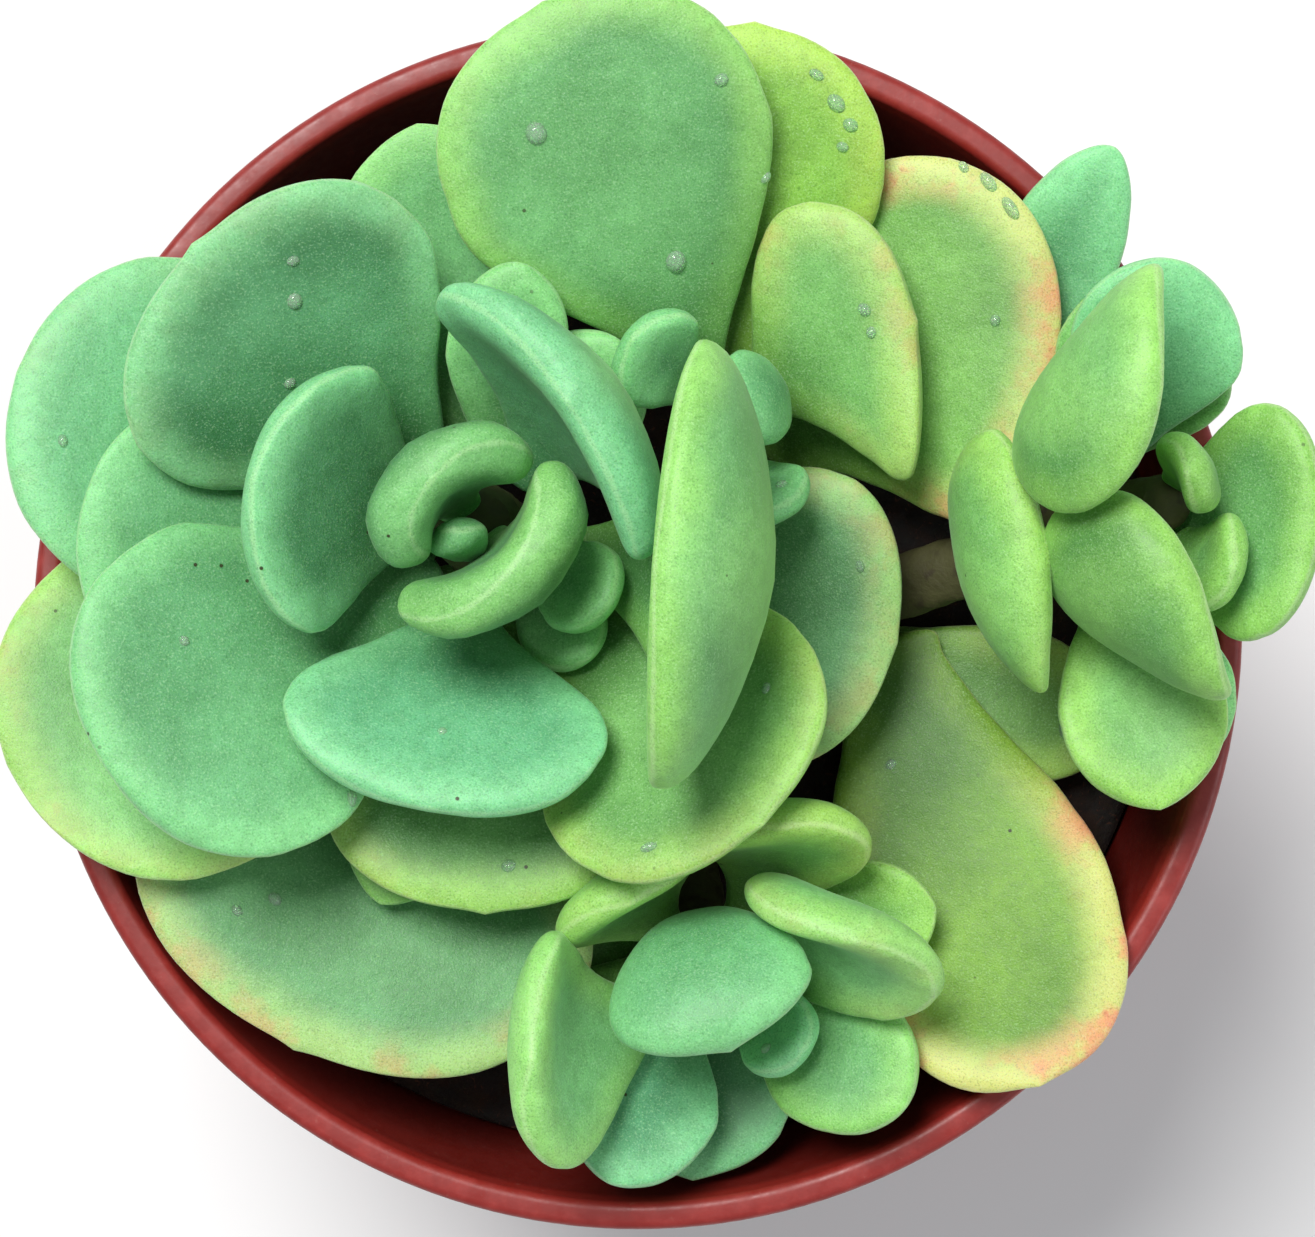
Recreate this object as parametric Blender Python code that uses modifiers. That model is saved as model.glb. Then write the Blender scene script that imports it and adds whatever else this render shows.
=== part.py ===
"""A velvety rosette succulent in a round nursery pot. Lengths are millimetres until a mesh is
written, and azimuths are degrees anticlockwise from +X. The origin is the middle of the pot's
underside, +Z is up and -Y is the front. The plant's own heights are above the soil's edge."""

import math

import bmesh
import bpy
import numpy as np

METRES = 0.001
GAP = 0.3

# Pot
POT_HEIGHT = 88.0
RIM_RADIUS = 51.0
RIM_LIP = 2.4
RIM_BAND = 8.0
WALL = 1.2
BASE_RADIUS = 35.0
FOOT_BEVEL = 1.0
LIP_BEVEL = 0.6
BAND_TAPER = 0.35
DRAIN_HOLES = 6
DRAIN_RADIUS = 3.5
DRAIN_CIRCLE = 24.0
DRAIN_SIDES = 16
POT_STEPS = 64

# Soil
SOIL_DEPTH_BELOW_RIM = 14.0
SOIL_MOUND = 1.5
SOIL_BEVEL = 1.5
SOIL_GAP = 0.5
SOIL_STEPS = 48
SOIL_LEVEL = POT_HEIGHT - SOIL_DEPTH_BELOW_RIM
SOCKET_DROP = 2.0
SOCKET_CLEAR = 8.0

# Stem centre lines, from inside the soil up, and their radii at the bottom and the top. The four
# stems are separate plants: the main rosette, the crown behind it, and one to the right and the front
STEMS = {
    "main": (((-1, 0, -4), (-7, 4, 5), (-12, 7, 14), (-13, 8, 24)), 4.4, 3.8),
    "crown": (((5, 9, -4), (7, 14, 8), (8, 18, 21)), 3.0, 2.4),
    "right": (((11, 0, -4), (15, 1, 2), (28, 5, 10), (37, 9, 16), (43, 10, 23)), 3.2, 2.4),
    "front": (((3, -14, -4), (5, -25, 6), (6.3, -31, 17)), 3.0, 2.2),
}
STEM_SIDES = 12
STEM_LEVELS = 10
BUD_RADIUS = 1.0
ROOT_GAP = 0.9

# Leaf kinds: thickness, width of the claw at the root, share of the length where it is widest, how
# blunt the end is (0.5 is round, more is pointed), points round a section and sections along
KINDS = {
    "broad": (3.6, 3.2, 0.64, 0.50, 16, 11),
    "thick": (4.8, 3.2, 0.74, 0.50, 16, 12),
    "small": (3.0, 2.8, 0.60, 0.60, 12, 9),
    "upright": (3.8, 2.8, 0.70, 0.55, 14, 10),
    "bud": (5.2, 3.4, 0.66, 0.50, 16, 11),
    "clasp": (3.8, 6.0, 0.60, 0.50, 16, 11),
    "fan": (3.6, 9.0, 0.58, 0.50, 16, 11),
}

# Each leaf: name, kind, stem, root height, azimuth, turn along it, length, width, rise at its root,
# rise at its end, how far its section curls up and how far it rolls about its midrib. A rise over 90
# leans back over the stem. Rows run from the lowest leaves to the highest within each rosette.
LEAVES = (
    ("main_leaf_01", "broad", "main", 7.4, 241, 5, 41, 39, 16, 14, 15, 0),
    ("main_leaf_02", "broad", "main", 9.8, 202, 0, 42, 30, 16, 16, 20, 8),
    ("main_leaf_03", "broad", "main", 10.8, 160, 0, 40, 29, 21, 17, 20, 6),
    ("main_leaf_04", "broad", "main", 10.4, -13, 0, 28, 26, 12, 12, 25, 0),
    ("main_leaf_05", "small", "main", 11.6, 250, 0, 27, 13, 15, 16, 30, 0),
    ("main_leaf_06", "broad", "main", 14.2, 182, 0, 31, 25, 27, 22, 20, 0),
    ("main_leaf_07", "broad", "main", 13.8, -91, 0, 27, 26, 21, 20, 25, 0),
    ("main_leaf_08", "small", "main", 13.0, 101, 0, 31, 19, 10, 16, 30, 0),
    ("main_leaf_09", "broad", "main", 16.0, -46, 0, 32, 26, 24, 42, 25, 0),
    ("main_leaf_10", "broad", "main", 17.2, 211, 0, 34, 28, 32, 24, 20, 0),
    ("main_leaf_11", "broad", "main", 17.0, 135, 0, 31, 29, 29, 28, 25, 0),
    ("main_leaf_12", "small", "main", 14.6, 58, 0, 16.1, 11, 25, 28, 40, 0),
    ("main_leaf_13", "small", "main", 17.8, 83, 0, 19, 10, 28, 22, 40, 0),
    ("main_leaf_14", "small", "main", 18.5, -50, 0, 10, 7.5, 32, 36, 40, 0),
    ("main_leaf_15", "small", "main", 23.0, -30, 0, 10, 8, 30, 50, 40, 0),
    ("main_leaf_16", "broad", "main", 20.5, 260, 0, 22, 26, 32, 42, 35, 0),
    ("main_leaf_17", "clasp", "main", 21.0, 168, 0, 20, 22, 40, 60, 60, 0),
    ("main_leaf_18", "thick", "main", 21.3, 54, -20, 22, 27, 25, 112, 75, 0),
    ("main_leaf_19", "thick", "main", 20.2, -12, 8, 40, 34, 8, 137, 45, 0),
    ("main_leaf_20", "bud", "main", 25.5, 128, 0, 15, 15.5, 58, 104, 155, 0),
    ("main_leaf_21", "bud", "main", 25.5, -48, 0, 15, 19, 56, 100, 135, 0),
    ("main_leaf_22", "small", "main", 26.8, 227, 80, 7.5, 4.0, 91, 104, 100, 0),
    ("crown_leaf_01", "fan", "crown", 7.0, 42, -42, 30.4, 30.5, 31, 15.5, 20, 0),
    ("crown_leaf_02", "broad", "crown", 10.5, 86, 0, 33, 23, 27, 13, 20, 0),
    ("crown_leaf_03", "broad", "crown", 14.0, 45, -35, 17, 24, 38, 24, 20, 0),
    ("crown_leaf_04", "broad", "crown", 15.0, 114, 0, 36, 28, 30, 12, 20, 0),
    ("crown_leaf_05", "small", "crown", 19.4, 146, 0, 10, 9, 34, 62, 60, 0),
    ("crown_leaf_06", "small", "crown", 20.3, 20, 0, 8.5, 8, 85, 152, 60, 0),
    ("crown_leaf_07", "small", "crown", 17.5, -74, 0, 10.5, 9.5, 45, 80, 60, 0),
    ("right_leaf_01", "small", "right", 2.3, -25, 0, 24, 13, 7, 4, 40, 0),
    ("right_leaf_02", "fan", "right", 4.9, -71.5, 0, 41.5, 24, 8.5, 32, 20, 0),
    ("right_leaf_03", "small", "right", 10.1, 81.5, -22, 34, 10.5, 6.5, 22, 40, 0),
    ("right_leaf_04", "small", "right", 15.2, 66, 0, 19.4, 15, 19, 20, 40, 0),
    ("right_leaf_05", "small", "right", 16.0, -70, 0, 20, 14, 10, 5, 40, 0),
    ("right_leaf_06", "small", "right", 18.5, 78, 0, 19, 14, 22, 30, 40, 0),
    ("right_leaf_07", "small", "right", 17.8, 279, 0, 22, 14, 19, 20, 40, 0),
    ("right_leaf_08", "broad", "right", 18.0, -5, 0, 16, 20, 30, 45, 35, 0),
    ("right_leaf_09", "small", "right", 22, -54, 40, 9, 8.5, 45, 75, 60, 0),
    ("right_leaf_10", "upright", "right", 20.6, 262, -60, 23, 20, 22, 156, 40, 0),
    ("right_leaf_11", "upright", "right", 16.3, 207, -20, 20, 21.5, 15, 150, 40, 0),
    ("right_leaf_12", "upright", "right", 20.6, 114, 60, 28, 20.5, 20, 145, 40, 0),
    ("right_leaf_13", "small", "right", 23.5, 62, -50, 9, 7, 70, 110, 60, 0),
    ("front_leaf_01", "small", "front", 5.5, 200, 0, 23, 12, 16, 16, 40, 0),
    ("front_leaf_02", "small", "front", 10.1, 11, 0, 18, 10.4, 32, 19, 40, 0),
    ("front_leaf_03", "small", "front", 8.2, 218, 0, 15, 8, 18, 18, 40, 0),
    ("front_leaf_04", "small", "front", 9.0, -92, 0, 17, 16, 9, 12, 40, 0),
    ("front_leaf_05", "small", "front", 11.6, -35, 0, 19, 13, 22, 34, 40, 0),
    ("front_leaf_06", "small", "front", 11.8, 246, 0, 18, 13, 20, 30, 50, 0),
    ("front_leaf_07", "small", "front", 15.0, -35, 0, 9, 7.5, 40, 60, 60, 0),
    ("front_leaf_08", "upright", "front", 12.2, 52, 48, 21, 14.5, 25, 90, 40, 0),
    ("front_leaf_09", "upright", "front", 14.8, 206, -30, 22, 19, 18, 90, 40, 0),
    ("front_leaf_10", "upright", "front", 13.9, 5, 75, 21, 18, 22, 100, 40, 0),
    ("front_leaf_11", "upright", "front", 12.5, 139, -22, 16.6, 13.5, 25, 110, 40, 0),
    ("front_leaf_12", "upright", "front", 14.8, 109, 0, 20, 17, 60, 170, 40, 0),
)

GREEN = (0.16, 0.42, 0.14, 1.0)
BRICK = (0.42, 0.05, 0.03, 1.0)
BARK = (0.30, 0.24, 0.12, 1.0)
EARTH = (0.03, 0.02, 0.015, 1.0)


def material(name, colour, roughness):
    made = bpy.data.materials.new(name)
    made.use_nodes = True
    shader = made.node_tree.nodes["Principled BSDF"]
    shader.inputs["Base Color"].default_value = colour
    shader.inputs["Roughness"].default_value = roughness
    shader.inputs["Metallic"].default_value = 0.0
    made.diffuse_color = colour
    return made


def collection(name):
    made = bpy.data.collections.new(name)
    bpy.context.scene.collection.children.link(made)
    return made


def add_object(name, mesh, look, hidden=False):
    made = bpy.data.objects.new(name, mesh)
    (cutters if hidden else plant).objects.link(made)
    mesh.materials.append(look)
    for face in mesh.polygons:
        face.use_smooth = True
    if hidden:
        made.hide_render = True
        made.display_type = "WIRE"
    return made


def mesh_of(name, work):
    bmesh.ops.recalc_face_normals(work, faces=work.faces)
    mesh = bpy.data.meshes.new(name)
    work.to_mesh(mesh)
    work.free()
    return mesh


def profile_mesh(name, points):
    """An open chain of (radius, height) points, for a Screw modifier to turn."""
    mesh = bpy.data.meshes.new(name)
    corners = [(r * METRES, 0.0, z * METRES) for r, z in points]
    mesh.from_pydata(corners, [(i, i + 1) for i in range(len(corners) - 1)], [])
    return mesh


def turn(made, steps):
    screw = made.modifiers.new("turn", "SCREW")
    screw.axis = "Z"
    screw.steps = steps
    screw.render_steps = steps
    screw.use_merge_vertices = True
    screw.merge_threshold = 0.00005
    screw.use_smooth_shade = True
    return screw


def cut(made, cutter):
    boolean = made.modifiers.new("cut", "BOOLEAN")
    boolean.operation = "DIFFERENCE"
    boolean.solver = "EXACT"
    boolean.object = cutter


def inner_radius(height):
    """Inside radius of the pot's wall at a height."""
    share = (height - WALL) / (POT_HEIGHT - WALL)
    return (BASE_RADIUS - WALL) + share * (RIM_RADIUS - RIM_LIP - BASE_RADIUS + WALL)


def build_pot(look):
    """A tapered wall with a thicker band and lip at the rim, and a ring of drain holes in its floor."""
    neck = POT_HEIGHT - RIM_BAND
    lip_in = RIM_RADIUS - RIM_LIP
    profile = (
        (0, 0),
        (BASE_RADIUS - FOOT_BEVEL, 0),
        (BASE_RADIUS, FOOT_BEVEL),
        (inner_radius(neck) + WALL, neck),
        (RIM_RADIUS - 2 * BAND_TAPER, neck + BAND_TAPER),
        (RIM_RADIUS - BAND_TAPER, neck + 3 * BAND_TAPER),
        (RIM_RADIUS, POT_HEIGHT - LIP_BEVEL),
        (RIM_RADIUS - LIP_BEVEL, POT_HEIGHT),
        (lip_in + LIP_BEVEL, POT_HEIGHT),
        (lip_in, POT_HEIGHT - LIP_BEVEL),
        (inner_radius(WALL + FOOT_BEVEL), WALL + FOOT_BEVEL),
        (inner_radius(WALL) - FOOT_BEVEL, WALL),
        (0, WALL),
    )
    pot = add_object("pot", profile_mesh("pot", profile), look)
    turn(pot, POT_STEPS)
    for i in range(DRAIN_HOLES):
        angle = 2 * math.pi * (i + 0.5) / DRAIN_HOLES
        work = bmesh.new()
        bmesh.ops.create_cone(
            work,
            cap_ends=True,
            segments=DRAIN_SIDES,
            radius1=DRAIN_RADIUS * METRES,
            radius2=DRAIN_RADIUS * METRES,
            depth=4 * WALL * METRES,
        )
        hole = add_object(f"drain_cutter_{i + 1}", mesh_of("drain", work), look, hidden=True)
        hole.location = (
            DRAIN_CIRCLE * math.cos(angle) * METRES,
            DRAIN_CIRCLE * math.sin(angle) * METRES,
            WALL / 2 * METRES,
        )
        cut(pot, hole)


def stem_at(stem, height):
    """Centre and radius of a stem at a height above the soil's edge; over its top, of its bud."""
    line, low, high = STEMS[stem]
    points = np.array(line, float)
    x = np.interp(height, points[:, 2], points[:, 0])
    y = np.interp(height, points[:, 2], points[:, 1])
    share = (height - points[0, 2]) / (points[-1, 2] - points[0, 2])
    radius = low + (high - low) * share if share <= 1 else BUD_RADIUS
    return x, y, radius


def tube(stem, bottom, top, swell):
    """A stem between two heights as stacked level rings, swollen by a margin, with its top bevelled."""
    work = bmesh.new()
    rings = []
    heights = np.linspace(bottom, top, STEM_LEVELS)
    for height in heights:
        x, y, radius = stem_at(stem, height)
        rings.append((x, y, height, radius + swell))
    x, y, radius = stem_at(stem, top)
    rings.append((x, y, top + 0.25 * radius, 0.75 * radius + swell))
    corners = []
    for x, y, height, radius in rings:
        ring = []
        for i in range(STEM_SIDES):
            angle = 2 * math.pi * i / STEM_SIDES
            across = (x + radius * math.cos(angle), y + radius * math.sin(angle))
            place = (*across, SOIL_LEVEL + height)
            ring.append(work.verts.new([METRES * c for c in place]))
        corners.append(ring)
    for low, high in zip(corners, corners[1:]):
        for i in range(STEM_SIDES):
            j = (i + 1) % STEM_SIDES
            work.faces.new((low[i], low[j], high[j], high[i]))
    work.faces.new(corners[0][::-1])
    work.faces.new(corners[-1])
    return work


def build_soil(look):
    """The root ball: it fills the pot to the soil's edge, mounds a little and holds four sockets."""
    floor = WALL + GAP
    edge = inner_radius(SOIL_LEVEL) - SOIL_GAP
    foot = inner_radius(floor + SOIL_BEVEL) - SOIL_GAP
    radii = [edge * share for share in (0.0, 0.25, 0.5, 0.75, 0.9)]
    top = [(r, SOIL_LEVEL + SOIL_MOUND * (1 - (r / edge) ** 2)) for r in radii]
    side = [(0, floor), (foot - SOIL_BEVEL, floor), (foot, floor + SOIL_BEVEL), (edge, SOIL_LEVEL)]
    profile = side + top[::-1]
    soil = add_object("soil", profile_mesh("soil", profile), look)
    turn(soil, SOIL_STEPS)
    for stem, (line, low, high) in STEMS.items():
        bottom = line[0][2] - SOCKET_DROP
        work = tube(stem, bottom - GAP, SOCKET_CLEAR, 2 * GAP)
        cutter = add_object(f"socket_cutter_{stem}", mesh_of("socket", work), look, hidden=True)
        cut(soil, cutter)


def build_stems(look):
    """Four bare stems, each standing in its socket in the soil."""
    for stem, (line, low, high) in STEMS.items():
        bottom = line[0][2] - SOCKET_DROP
        work = tube(stem, bottom, line[-1][2], 0.0)
        add_object(f"stem_{stem}", mesh_of(f"stem_{stem}", work), look)


def smooth(x):
    x = np.clip(x, 0.0, 1.0)
    return x * x * (3 - 2 * x)


class Leaf:
    """A fleshy leaf as a surface over v, the share of its length, and a, the angle round it."""

    def __init__(self, name, kind, stem, height, azimuth, turning, length, width, *shape):
        self.name = name
        self.thickness, self.root_width, self.widest, self.blunt, self.sides, self.rings = KINDS[kind]
        self.azimuth = math.radians(azimuth)
        self.turning = math.radians(turning)
        self.length = length
        self.width = width
        self.rise, self.end_rise, self.curl, self.roll = [math.radians(s) for s in shape]
        x, y, radius = stem_at(stem, height)
        out = radius + ROOT_GAP
        across = (x + out * math.cos(self.azimuth), y + out * math.sin(self.azimuth))
        self.root = (*across, SOIL_LEVEL + height)

    def midrib(self, v):
        """Places on the midrib at the shares v, by adding up short steps."""
        steps = 200
        share = (np.arange(steps) + 0.5) / steps
        pitch = self.rise + (self.end_rise - self.rise) * share
        heading = self.azimuth + self.turning * share
        step = self.length / steps
        moves = np.stack(
            (np.cos(pitch) * np.cos(heading), np.cos(pitch) * np.sin(heading), np.sin(pitch)), 1
        )
        path = np.vstack((np.zeros(3), np.cumsum(moves * step, 0))) + self.root
        ends = np.arange(steps + 1) / steps
        return np.stack([np.interp(v, ends, path[:, k]) for k in range(3)], -1)

    def half_width(self, v):
        """A narrow claw, then a spoon whose end is a quarter round on each side."""
        root = self.root_width / 2
        grown = root + (self.width / 2 - root) * smooth(v / self.widest)
        past = np.clip((v - self.widest) / (1 - self.widest), 0, 1)
        return grown * (1 - past**2) ** self.blunt

    def half_thickness(self, v):
        """Half the root's thickness near the stem, full by the middle, thin only at the end."""
        grown = 0.55 + 0.45 * smooth(v / 0.5)
        past = np.clip((v - self.widest) / (1 - self.widest), 0, 1)
        return self.thickness / 2 * grown * (1 - past**4) ** 0.5

    def surface(self, v, a):
        """Places on the skin. The upper face is flatter than the lower one."""
        v = np.asarray(v, float)
        a = np.asarray(a, float)
        across = self.half_width(v) * np.sign(np.cos(a)) * np.abs(np.cos(a)) ** 0.7
        upper = np.where(np.sin(a) > 0, 0.8, 1.2)
        through = self.half_thickness(v) * np.sign(np.sin(a)) * np.abs(np.sin(a)) ** 0.8 * upper
        radius = self.width / max(self.curl, 0.02)
        bend = across / radius
        sideways = (radius - through) * np.sin(bend)
        upwards = radius - (radius - through) * np.cos(bend)
        pitch = self.rise + (self.end_rise - self.rise) * v
        heading = self.azimuth + self.turning * v
        roll = self.roll * smooth(v / 0.6)
        zero = np.zeros_like(v)
        side = np.stack((-np.sin(heading), np.cos(heading), zero), -1)
        normal = np.stack(
            (-np.sin(pitch) * np.cos(heading), -np.sin(pitch) * np.sin(heading), np.cos(pitch)), -1
        )
        turned_side = side * np.cos(roll)[..., None] + normal * np.sin(roll)[..., None]
        turned_normal = normal * np.cos(roll)[..., None] - side * np.sin(roll)[..., None]
        across_it = turned_side * sideways[..., None]
        return self.midrib(v) + across_it + turned_normal * upwards[..., None]

    def build(self, look):
        """A ball whose height runs along the leaf and whose sides wrap round its section."""
        work = bmesh.new()
        bmesh.ops.create_uvsphere(work, u_segments=self.sides, v_segments=self.rings, radius=1.0)
        ball = np.array([vertex.co[:] for vertex in work.verts])
        places = self.surface((1 + ball[:, 2]) / 2, np.arctan2(ball[:, 1], ball[:, 0]))
        for vertex, place in zip(work.verts, places):
            vertex.co = place * METRES
        add_object(self.name, mesh_of(self.name, work), look)


def build_leaves(look):
    for row in LEAVES:
        Leaf(*row).build(look)


for old in list(bpy.data.objects):
    bpy.data.objects.remove(old)
plant = collection("potted_succulent")
cutters = collection("cutters")

build_pot(material("pot_plastic", BRICK, 0.45))
build_soil(material("potting_mix", EARTH, 0.95))
build_stems(material("stem_bark", BARK, 0.8))
build_leaves(material("leaf_skin", GREEN, 0.6))
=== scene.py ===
"""Looks for the potted succulent: fleshy downy leaves on bare stems, crumbly potting mix, a moulded pot
and drops of water. Metres throughout; sizes named in mm are turned into metres by MM."""

import math

import bmesh
import bpy
import numpy as np
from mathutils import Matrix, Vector, noise


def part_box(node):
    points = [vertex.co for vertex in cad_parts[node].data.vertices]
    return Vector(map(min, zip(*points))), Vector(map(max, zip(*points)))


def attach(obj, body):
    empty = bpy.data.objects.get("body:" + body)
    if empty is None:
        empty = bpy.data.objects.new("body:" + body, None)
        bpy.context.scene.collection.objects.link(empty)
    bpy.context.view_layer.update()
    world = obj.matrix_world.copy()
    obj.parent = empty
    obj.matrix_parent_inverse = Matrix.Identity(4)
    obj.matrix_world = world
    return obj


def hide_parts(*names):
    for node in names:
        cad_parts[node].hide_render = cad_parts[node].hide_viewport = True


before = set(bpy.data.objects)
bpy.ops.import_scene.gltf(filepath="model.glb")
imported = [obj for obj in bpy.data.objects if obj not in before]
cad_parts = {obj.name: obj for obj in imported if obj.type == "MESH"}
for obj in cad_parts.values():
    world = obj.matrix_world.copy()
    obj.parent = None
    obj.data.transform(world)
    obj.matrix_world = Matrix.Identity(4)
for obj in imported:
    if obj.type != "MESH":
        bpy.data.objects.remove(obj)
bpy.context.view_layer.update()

MM = 0.001
BODY = "root"
POT_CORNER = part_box("pot")[1]
RIM_HEIGHT = POT_CORNER.z
RIM_RADIUS = POT_CORNER.x

# Camera: straight above the plant, close enough for the upper leaves to look larger
CAMERA_OVER_RIM = 300 * MM
CAMERA_X = 1.64 * MM
CAMERA_Y = 0.55 * MM
VIEW_WIDTH_AT_RIM = 110.7 * MM
SENSOR = 36.0

# Leaf mesh: sections from root to tip, points round a section
LEAF_SECTIONS = 46
TIP_SECTIONS = 12
TIP_STARTS = 0.93
LEAF_ROUND = 48

# Leaf shape. Past SHOULDER_STARTS of its length a leaf is filled out, by SHOULDER of the way from a
# round end (SHOULDER_FROM) to a blunt one (SHOULDER_TO)
SHOULDER = 0.5
SHOULDER_STARTS = 0.62
SHOULDER_FROM = 2
SHOULDER_TO = 2.8
# Waves along the margin: the size of the finest, its least, and the width of leaf that has it in full
WAVE = 0.22 * MM
WAVE_LEAST = 0.03 * MM
WAVE_FULL_WIDTH = 22 * MM
BULGE_SHARE = 0.6
LOBE_SHARE = 0.014
SWAY = 0.25 * MM
FADE_WIDTH = 0.35
MARGIN_POWER = 7
# Keel: its angular half width, and the least ridge in mm that also gets a painted highlight along its
# crest
KEEL_SPREAD = 0.34
KEEL_SHOWS = 0.25
# Tip: how far back a soft point is drawn out, and by how much
TIP_REACH = 2.6 * MM
TIP_LEAST = 0.05
TIP_MOST = 0.45
ROOT_REACH = 0.3

ROSETTES = ("main", "crown", "right", "front")


# ---------------------------------------------------------------------------------------------
# Leaf character: warm runs from 0 (blue green) to 1 (yellow green), light from 0 (deep) to 1 (pale),
# which is partly the leaf's own tone and partly painted shade for leaves that sit in shadow,
# blush from 0 to 1 is how pink and cream the edge is, keel in mm is the ridge along the underside
# ---------------------------------------------------------------------------------------------
LOOKS = {
    "main_leaf_01": (0.25, 0.60, 0.45, 0.0),
    "main_leaf_02": (0.40, 0.90, 0.15, 0.0),
    "main_leaf_03": (0.10, 0.85, 0.05, 0.0),
    "main_leaf_04": (0.25, 0.55, 0.30, 0.0),
    "main_leaf_05": (0.30, 0.25, 0.00, 0.0),
    "main_leaf_06": (0.15, 0.90, 0.00, 0.0),
    "main_leaf_07": (0.45, 0.35, 0.10, 0.0),
    "main_leaf_08": (0.25, 0.70, 0.00, 0.0),
    "main_leaf_09": (0.50, 0.55, 0.10, 0.0),
    "main_leaf_10": (0.15, 0.66, 0.00, 0.0),
    "main_leaf_11": (0.10, 0.42, 0.05, 0.0),
    "main_leaf_12": (0.20, 0.60, 0.00, 0.1),
    "main_leaf_13": (0.20, 0.60, 0.00, 0.1),
    "main_leaf_14": (0.20, 0.40, 0.00, 0.1),
    "main_leaf_15": (0.20, 0.35, 0.00, 0.1),
    "main_leaf_16": (0.00, 0.62, 0.00, 0.0),
    "main_leaf_17": (0.10, 0.45, 0.00, 0.2),
    "main_leaf_18": (0.05, 0.80, 0.00, 0.6),
    "main_leaf_19": (0.35, 0.75, 0.00, 0.8),
    "main_leaf_20": (0.20, 0.38, 0.00, 0.2),
    "main_leaf_21": (0.25, 0.34, 0.00, 0.4),
    # main_leaf_22 sits deep in the bud at the rosette's centre: its very low light is painted shade
    "main_leaf_22": (0.15, 0.05, 0.00, 0.1),
    "crown_leaf_01": (0.65, 0.76, 0.90, 0.0),
    "crown_leaf_02": (0.85, 0.85, 0.10, 0.0),
    "crown_leaf_03": (0.50, 0.80, 0.30, 0.0),
    "crown_leaf_04": (0.30, 0.64, 0.05, 0.0),
    "crown_leaf_05": (0.15, 0.42, 0.00, 0.1),
    "crown_leaf_06": (0.15, 0.40, 0.00, 0.1),
    "crown_leaf_07": (0.15, 0.45, 0.00, 0.1),
    "right_leaf_01": (0.70, 0.40, 0.10, 0.0),
    "right_leaf_02": (1.00, 0.42, 1.00, 0.0),
    "right_leaf_03": (0.10, 0.85, 0.00, 0.0),
    "right_leaf_04": (0.25, 0.50, 0.00, 0.0),
    "right_leaf_05": (0.20, 0.75, 0.00, 0.0),
    "right_leaf_06": (0.10, 0.80, 0.00, 0.0),
    "right_leaf_07": (0.50, 0.85, 0.00, 0.4),
    "right_leaf_08": (0.40, 0.50, 0.00, 0.0),
    "right_leaf_09": (0.40, 0.60, 0.00, 0.1),
    "right_leaf_10": (0.45, 0.52, 0.00, 0.3),
    "right_leaf_11": (0.50, 0.85, 0.05, 0.3),
    "right_leaf_12": (0.42, 0.78, 0.00, 0.3),
    "right_leaf_13": (0.40, 0.60, 0.00, 0.1),
    "front_leaf_01": (0.50, 0.45, 0.05, 0.0),
    "front_leaf_02": (0.50, 0.45, 0.00, 0.0),
    "front_leaf_03": (0.40, 0.40, 0.00, 0.0),
    "front_leaf_04": (0.10, 0.45, 0.00, 0.0),
    "front_leaf_05": (0.30, 0.75, 0.00, 0.1),
    "front_leaf_06": (0.00, 0.72, 0.00, 0.1),
    "front_leaf_07": (0.10, 0.88, 0.00, 0.1),
    "front_leaf_08": (0.60, 0.50, 0.10, 0.3),
    "front_leaf_09": (0.30, 0.88, 0.05, 0.3),
    "front_leaf_10": (0.32, 0.85, 0.10, 0.5),
    "front_leaf_11": (0.48, 0.88, 0.05, 0.3),
    "front_leaf_12": (0.15, 0.75, 0.00, 0.2),
}


# ---------------------------------------------------------------------------------------------
# Meshes and materials
# ---------------------------------------------------------------------------------------------
def new_piece(name, points, faces, look, replaced=None):
    """A smooth piece that rides on the plant, and stands for a CAD node if one is named."""
    mesh = bpy.data.meshes.new(name)
    mesh.from_pydata([tuple(p) for p in points], [], [tuple(f) for f in faces])
    mesh.validate()
    mesh.shade_smooth()
    piece = bpy.data.objects.new(name, mesh)
    bpy.context.scene.collection.objects.link(piece)
    mesh.materials.append(look)
    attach(piece, BODY)
    if replaced:
        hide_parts(replaced)
    return piece


def mend_normals(piece):
    """Turns a piece's faces to point out."""
    work = bmesh.new()
    work.from_mesh(piece.data)
    bmesh.ops.recalc_face_normals(work, faces=work.faces)
    work.to_mesh(piece.data)
    work.free()


def linear(red, green, blue):
    """A colour given as screen values from 0 to 255."""
    shares = [c / 255 for c in (red, green, blue)]
    return (*[s / 12.92 if s <= 0.04045 else ((s + 0.055) / 1.055) ** 2.4 for s in shares], 1.0)


# The Mix node's colour sockets, which share their names with its number and vector sockets
MIX_SHARE = 0
MIX_FIRST = 6
MIX_SECOND = 7
MIX_RESULT = 2


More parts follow.
